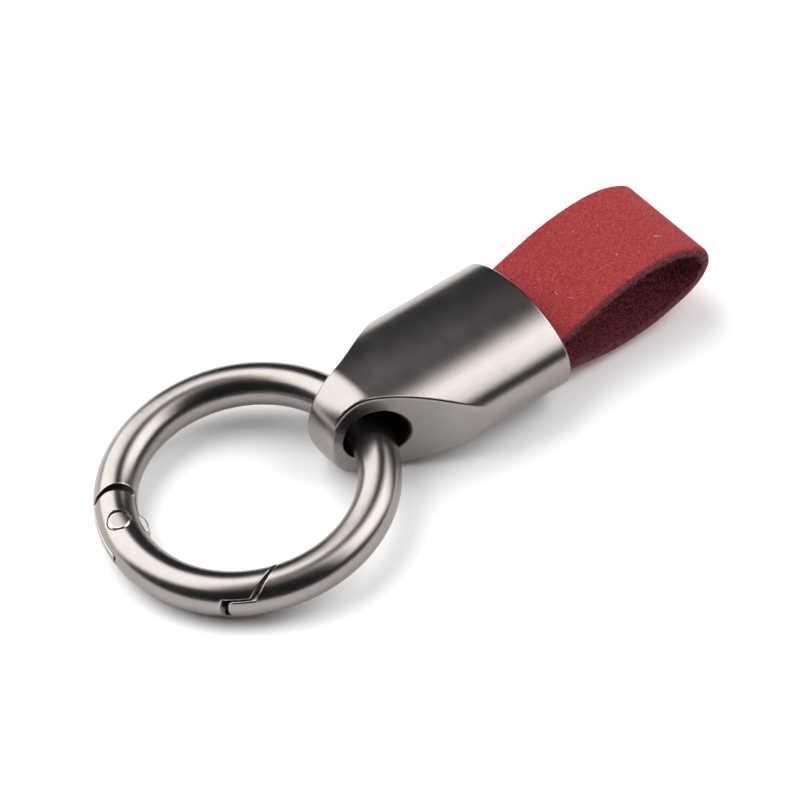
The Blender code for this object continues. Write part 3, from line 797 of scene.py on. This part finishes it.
# Leather's colours: the grain's nap, the lint in it, the cut edges and the flesh side
GRAIN_RED = (0.29, 0.021, 0.023)
GRAIN_LIGHT = (0.43, 0.062, 0.062)
GRAIN_DARK = (0.17, 0.009, 0.012)
CUT_PURPLE = (0.075, 0.013, 0.022)
CUT_PALE = (0.26, 0.09, 0.105)
GRAIN_SPECK = (0.62, 0.22, 0.2)
FLESH_RED = (0.03, 0.002, 0.004)
FLESH_PALE = (0.42, 0.062, 0.085)


def leather_group():
    """Nubuck: a mottled nap with light specks on the grain, and fibrous purplish cut edges and flesh side."""
    names = {"Cut": "Float", "Flesh": "Float"}
    tree, given, result = new_group("nubuck", names)
    place = millimetres(tree)
    mottle = noise(tree, place, 1.7, 5, 0.72)
    nap = noise(tree, place, 4.2, 4, 0.72)
    specks = noise(tree, place, 5.5, 1, 0.5)
    grain = blend_colours(tree, span(tree, nap, 0.34, 0.66), GRAIN_DARK, GRAIN_LIGHT)
    grain = blend_colours(tree, 0.75, GRAIN_RED, grain)
    grain = scaled(tree, grain, span(tree, mottle, 0.32, 0.68, 0.78, 1.2))
    grain = blend_colours(tree, span(tree, specks, 0.70, 0.76, 0, 0.6), grain, GRAIN_SPECK)
    fibre = noise(tree, stretched(tree, place, (2.2, 5, 2.2)), 1.4, 5, 0.7)
    edge = blend_colours(tree, span(tree, fibre, 0.4, 0.66), CUT_PURPLE, CUT_PALE)
    crumb = maths(tree, "ADD", product(tree, fibre, 0.5), product(tree, nap, 0.5))
    flesh = blend_colours(tree, span(tree, crumb, 0.47, 0.6), FLESH_RED, FLESH_PALE)
    colour = blend_colours(tree, given["Flesh"], grain, flesh)
    colour = blend_colours(tree, given["Cut"], colour, edge)
    tree.links.new(colour, result["Colour"])
    tree.links.new(span(tree, nap, 0.3, 0.7, 0.82, 0.95), result["Roughness"])
    rough_side = maths(tree, "MAXIMUM", given["Cut"], given["Flesh"])
    height = maths(tree, "ADD", product(tree, nap, 0.045), product(tree, mottle, 0.05))
    height = maths(tree, "ADD", height, product(tree, fibre, rough_side, 0.3))
    tree.links.new(bumps(tree, height), result["Normal"])
    return tree


def leather_material(group):
    material, shader = finished_material("red nubuck", group, {"Cut": "cut_edge", "Flesh": "flesh_side"})
    shader.inputs["Specular IOR Level"].default_value = 0.25
    shader.inputs["Sheen Weight"].default_value = 0.1
    shader.inputs["Sheen Roughness"].default_value = 0.5
    shader.inputs["Sheen Tint"].default_value = (0.8, 0.3, 0.3, 1)
    return material


def fibre_material(name, dark, pale):
    """Single fibres, darker and paler along and between them."""
    material, tree, shader = new_material(name)
    place = millimetres(tree)
    share = span(tree, noise(tree, place, 2.5, 2), 0.3, 0.7)
    tree.links.new(blend_colours(tree, share, dark, pale), shader.inputs["Base Color"])
    tree.links.new(span(tree, share, 0, 1, 0.75, 0.9), shader.inputs["Roughness"])
    return material


def spring_material():
    """Drawn steel wire: fine lines along its length and a straw tint that comes and goes."""
    material, tree, shader = new_material("spring wire")
    place = millimetres(tree)
    drawn = noise(tree, stretched(tree, place, (9, 9, 2)), 1.5, 3)
    cloud = noise(tree, place, 0.8, 2)
    colour = blend_colours(tree, span(tree, cloud, 0.3, 0.7), (0.42, 0.41, 0.40), (0.50, 0.47, 0.41))
    tree.links.new(colour, shader.inputs["Base Color"])
    tree.links.new(span(tree, drawn, 0.3, 0.7, 0.2, 0.34), shader.inputs["Roughness"])
    tree.links.new(bumps(tree, product(tree, drawn, 0.003)), shader.inputs["Normal"])
    shader.inputs["Metallic"].default_value = 1
    return material


def glue_material():
    """Set contact glue: cloudy amber with small trapped bubbles."""
    material, tree, shader = new_material("set glue")
    place = millimetres(tree)
    cloud = noise(tree, place, 0.9, 4)
    bubble = node(tree, "TexVoronoi", {"Vector": place, "Scale": 2.4}, feature="F1").outputs["Distance"]
    colour = blend_colours(tree, span(tree, cloud, 0.3, 0.7), (0.46, 0.30, 0.13), (0.62, 0.46, 0.25))
    tree.links.new(colour, shader.inputs["Base Color"])
    tree.links.new(span(tree, cloud, 0.3, 0.7, 0.25, 0.45), shader.inputs["Roughness"])
    height = product(tree, span(tree, bubble, 0.1, 0.4), 0.04)
    tree.links.new(bumps(tree, height), shader.inputs["Normal"])
    return material


# The spring inside the gate

PLUNGER_WAY = np.array([0.048108, -0.998831, 0.004807])


def press_spring(spring):
    """The spring gets a mesh of its own; how far each point lies along the plunger's way is worked out but not
    used, so the spring keeps its shape.
    """
    along = points_of(spring) @ PLUNGER_WAY
    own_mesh(spring)


# The pieces, each on its CAD body

upright = np.eye(3)
lean = turn_of(RING_TILT, RING_YAW)
metal = metal_group()
plated = metal_material("satin plate", metal, (0.27, 0.246, 0.234), (0.55, 0.51, 0.49))
filed = metal_material("filed rivet", metal, (0.25, 0.228, 0.218), (0.6, 0.57, 0.55))

cap = cast("cast_cap", cap_solid, (-6, -10, -7), (24.5, 10, 7), CAP_STEP, upright, EYE, 6)
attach(cap, "cap")
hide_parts("cap_shell")
cap.data.materials.append(plated)
paint_bore_shade(cap)

body = cast("ring_wire", ring_body_solid, (-18, -18, -3), (18, 18, 3), RING_STEP, lean, RING_CENTRE, 20)
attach(body, "ring")
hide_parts("ring_body")
body.data.materials.append(plated)

gate = cast("ring_gate", gate_solid, (-18, -18, -3), (6, 9, 3), RING_STEP, lean, RING_CENTRE, 20)
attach(gate, "gate")
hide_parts("gate")
gate.data.materials.append(plated)

rivet = build_rivet(lean)
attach(rivet, "gate")
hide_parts("hinge_rivet")
rivet.data.materials.append(filed)

strap = build_strap()
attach(strap, "cap")
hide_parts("strap")
strap.data.materials.append(leather_material(leather_group()))

fuzz = build_fuzz()
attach(fuzz, "cap")
fuzz.data.materials.append(fibre_material("leather fibres", CUT_PURPLE, (0.36, 0.10, 0.12)))

lint = build_lint()
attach(lint, "cap")
lint.data.materials.append(fibre_material("pale lint", (0.55, 0.42, 0.4), (0.8, 0.7, 0.68)))

for name, material in (
    ("gate_plunger", plated),
    ("gate_spring", spring_material()),
    ("strap_glue", glue_material()),
):
    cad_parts[name].material_slots[0].material = material
press_spring(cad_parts["gate_spring"])

# Camera, set from the photograph

CAMERA_AZIMUTH = np.radians(-35.424)
CAMERA_ELEVATION = np.radians(46.777)
CAMERA_ROLL = np.radians(-3.09)
CAMERA_DISTANCE = 424.9
CAMERA_TARGET = np.array([1.4635, 2.576, 0.0])
CAMERA_LENS = 164.73
CAMERA_SENSOR = 36
CAMERA_CLIP = 10 * MM


def placed(name, data, axes, place):
    """A camera or lamp at that place in metres, with its own three axes as columns."""
    holder = bpy.data.objects.new(name, data)
    holder.matrix_world = Matrix([*np.column_stack([axes, place]).tolist(), (0, 0, 0, 1)])
    bpy.context.scene.collection.objects.link(holder)
    return holder


def aim_camera():
    sine, cosine = np.sin(CAMERA_AZIMUTH), np.cos(CAMERA_AZIMUTH)
    level = np.cos(CAMERA_ELEVATION)
    back = np.array([sine * level, -cosine * level, np.sin(CAMERA_ELEVATION)])
    right = np.array([cosine, sine, 0])
    up = np.cross(back, right)
    across = np.cos(CAMERA_ROLL) * right + np.sin(CAMERA_ROLL) * up
    upward = np.cos(CAMERA_ROLL) * up - np.sin(CAMERA_ROLL) * right
    place = (CAMERA_TARGET + back * CAMERA_DISTANCE) * MM
    lens = bpy.data.cameras.new("camera")
    lens.lens = CAMERA_LENS
    lens.sensor_width = CAMERA_SENSOR
    lens.clip_start = CAMERA_CLIP
    bpy.context.scene.camera = placed("camera", lens, np.stack([across, upward, back], axis=1), place)


# Lamps, world and table

SOFTBOX_DISTANCE = 1000 * MM
SOFTBOX_LAYER_GAP = 0.003


def softbox(name, azimuth, elevation, width, height, roll, radiance, fade):
    """A softbox of that brightness and size in degrees, as seen from the object, which it faces.

    It fades at its edges: three lamps share its brightness, one smaller and one larger by `fade` degrees.
    """
    turn, rise, roll = np.radians([azimuth, elevation, roll])
    way = np.array([np.cos(turn) * np.cos(rise), np.sin(turn) * np.cos(rise), np.sin(rise)])
    level = np.array([-np.sin(turn), np.cos(turn), 0])
    across = np.cos(roll) * level + np.sin(roll) * np.cross(way, level)
    facing = np.stack([across, np.cross(way, across), way], axis=1)
    for step in (-1, 0, 1):
        distance = (1 + SOFTBOX_LAYER_GAP * step) * SOFTBOX_DISTANCE
        lamp = bpy.data.lights.new(name, "AREA")
        lamp.shape = "RECTANGLE"
        lamp.size = 2 * distance * np.tan(np.radians((width + step * fade) / 2))
        lamp.size_y = 2 * distance * np.tan(np.radians((height + step * fade) / 2))
        lamp.energy = radiance / 3 * np.pi * lamp.size * lamp.size_y
        placed(name, lamp, facing, way * distance)


def dress_world(dark, zenith):
    """White behind the object, and dim at the horizon and brighter overhead where the metal mirrors it."""
    world = bpy.data.worlds.new("studio")
    world.use_nodes = True
    tree = world.node_tree
    tree.nodes.clear()
    way = node(tree, "TexCoord").outputs["Generated"]
    rise = node(tree, "SeparateXYZ", {0: way}).outputs["Z"]
    overhead = span(tree, rise, 0.88, 1.0)
    light = blend_colours(tree, overhead, dark, (zenith, zenith, zenith))
    path = node(tree, "LightPath").outputs
    light = blend_colours(tree, path["Is Diffuse Ray"], light, (0.0, 0.0, 0.0))
    light = blend_colours(tree, path["Is Camera Ray"], light, (1.0, 1.0, 1.0))
    surface = node(tree, "Background", {"Color": light, "Strength": 1.0}).outputs[0]
    output = node(tree, "OutputWorld")
    tree.links.new(surface, output.inputs["Surface"])
    bpy.context.scene.world = world


def lay_floor(size, colour, extra):
    """A white table top with the faintest tooth, and that much whiter to look at than as a light on the object."""
    corners = np.array([(-size, -size, 0), (size, -size, 0), (size, size, 0), (-size, size, 0)], dtype=float)
    floor = link_mesh("table_top", corners / 2, np.array([(0, 1, 2, 3)]), smooth=False)
    material, tree, shader = new_material("white table")
    place = millimetres(tree)
    shade = span(tree, noise(tree, place, 0.05, 2), 0.3, 0.7, 0.995, 1)
    path = node(tree, "LightPath").outputs
    seen = maths(tree, "MAXIMUM", path["Is Camera Ray"], path["Is Glossy Ray"])
    layers = []
    for share in (product(tree, shade, colour), product(tree, seen, extra)):
        white = node(tree, "CombineColor", {0: share, 1: share, 2: share}).outputs[0]
        layers.append(node(tree, "BsdfDiffuse", {"Color": white}).outputs[0])
    surface = node(tree, "AddShader", {0: layers[0], 1: layers[1]}).outputs[0]
    tree.nodes.remove(shader)
    tree.links.new(surface, tree.nodes["Material Output"].inputs["Surface"])
    floor.data.materials.append(material)


aim_camera()
softbox("near_softbox", -28.8, 43.7, 47, 46, -33, 3.8, 12)
softbox("back_softbox", 117.3, 41.5, 64.5, 70.7, -8, 3.4, 7)
softbox("gap_glow", 49, 52, 70, 9, 34, 0.06, 5)
dress_world((0.02, 0.023, 0.028), 0.5)
lay_floor(1400, 0.87, 0.25)
bpy.context.scene.view_settings.view_transform = "Standard"
